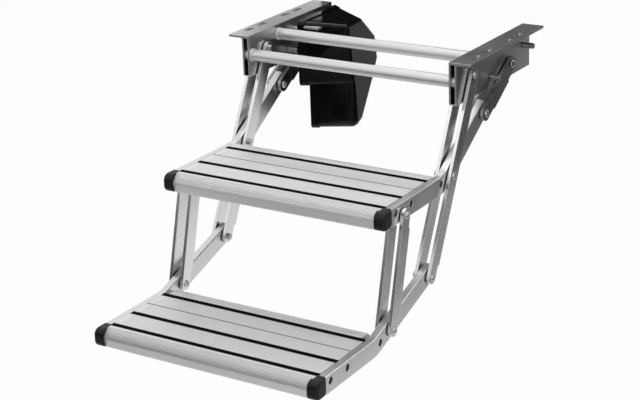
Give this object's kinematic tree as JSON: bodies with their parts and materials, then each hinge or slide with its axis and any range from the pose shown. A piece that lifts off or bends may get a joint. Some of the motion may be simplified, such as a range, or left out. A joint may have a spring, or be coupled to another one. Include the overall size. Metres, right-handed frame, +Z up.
{
  "type": "folding double entry step",
  "caption": "Motorised folding double entry step for a caravan or camper doorway, shown folded out, with slotted floor rails and link bars.",
  "frame": {"origin": "middle of the eight floor slots, level with the top of the two rails", "axes": "+X across the doorway to the right as seen from outside, +Y under the vehicle away from the user, +Z up"},
  "size_m": [0.458, 0.7075, 0.394],
  "materials": {
    "rail_aluminium": "satin",
    "tread_aluminium": "satin",
    "arm_aluminium": "satin",
    "bar_aluminium": "satin",
    "lever_steel": "satin",
    "bracket_steel": "satin",
    "gear_casting": "cast",
    "motor_steel": "satin",
    "end_cap_plastic": "matte",
    "cover_plastic": "gloss",
    "fastener_steel": "satin",
    "washer_plastic": "matte",
    "grip_rubber": "matte",
    "cap_plastic": "matte"
  },
  "bodies": {
    "frame": {"left_rail": "rail_aluminium", "right_rail": "rail_aluminium", "front_cross_tube": "rail_aluminium", "rear_cross_tube": "rail_aluminium", "stop_studs": "lever_steel", "motor_bracket": "bracket_steel", "bracket_posts": "bracket_steel", "gear_housing": "gear_casting", "motor_can": "motor_steel", "motor_end_cap": "end_cap_plastic", "motor_cover": "cover_plastic", "cover_screws": "fastener_steel"},
    "long_links": {"left_outer_bar": "bar_aluminium", "left_inner_bar": "bar_aluminium", "right_outer_bar": "bar_aluminium", "right_inner_bar": "bar_aluminium", "rail_pivot_bolts": "fastener_steel", "middle_pivot_bolts": "fastener_steel", "bottom_pivot_bolts": "fastener_steel", "long_bar_washers": "washer_plastic"},
    "levers": {"left_outer_lever": "lever_steel", "left_inner_lever": "lever_steel", "right_outer_lever": "lever_steel", "right_inner_lever": "lever_steel", "output_shaft": "fastener_steel", "right_lever_bolt": "fastener_steel", "lever_end_studs": "fastener_steel", "lever_washers": "washer_plastic"},
    "upper_step": {"upper_tread": "tread_aluminium", "upper_grip_strips": "grip_rubber", "left_upper_arm": "arm_aluminium", "right_upper_arm": "arm_aluminium", "left_upper_cap": "cap_plastic", "right_upper_cap": "cap_plastic", "upper_tread_screws": "fastener_steel"},
    "short_links": {"left_outer_short_bar": "bar_aluminium", "left_inner_short_bar": "bar_aluminium", "right_outer_short_bar": "bar_aluminium", "right_inner_short_bar": "bar_aluminium", "short_bar_top_bolts": "fastener_steel", "short_bar_end_studs": "fastener_steel", "short_bar_washers": "washer_plastic"},
    "lower_step": {"lower_tread": "tread_aluminium", "lower_grip_strips": "grip_rubber", "left_lower_arm": "arm_aluminium", "right_lower_arm": "arm_aluminium", "left_lower_cap": "cap_plastic", "right_lower_cap": "cap_plastic", "lower_tread_screws": "fastener_steel"}
  },
  "joints": [
    {"name": "fold", "type": "hinge", "parent": "frame", "child": "long_links", "pos_m": [0, -0.068, -0.031], "axis": [1, 0, 0], "range_deg": [0, 76]},
    {"name": "upper_step_hinge", "type": "hinge", "parent": "long_links", "child": "upper_step", "pos_m": [0, -0.14291, -0.17802], "axis": [1, 0, 0], "range_deg": [-81, 0]},
    {"name": "lower_step_hinge", "type": "hinge", "parent": "long_links", "child": "lower_step", "pos_m": [0, -0.21782, -0.32503], "axis": [1, 0, 0], "range_deg": [-96.5, 0]},
    {"name": "short_link_hinge", "type": "hinge", "parent": "upper_step", "child": "short_links", "pos_m": [0, -0.296, -0.192], "axis": [1, 0, 0], "range_deg": [0, 75.6]},
    {"name": "lever_turn", "type": "hinge", "parent": "frame", "child": "levers", "pos_m": [0, 0.069, -0.048], "axis": [1, 0, 0], "range_deg": [0, 133]}
  ],
  "couplings": [
    {"joint": "upper_step_hinge", "follows": "fold", "ratio": -1.065},
    {"joint": "lower_step_hinge", "follows": "fold", "ratio": -1.267},
    {"joint": "short_link_hinge", "follows": "fold", "ratio": 0.99181},
    {"joint": "lever_turn", "follows": "fold", "ratio": 1.7472}
  ]
}
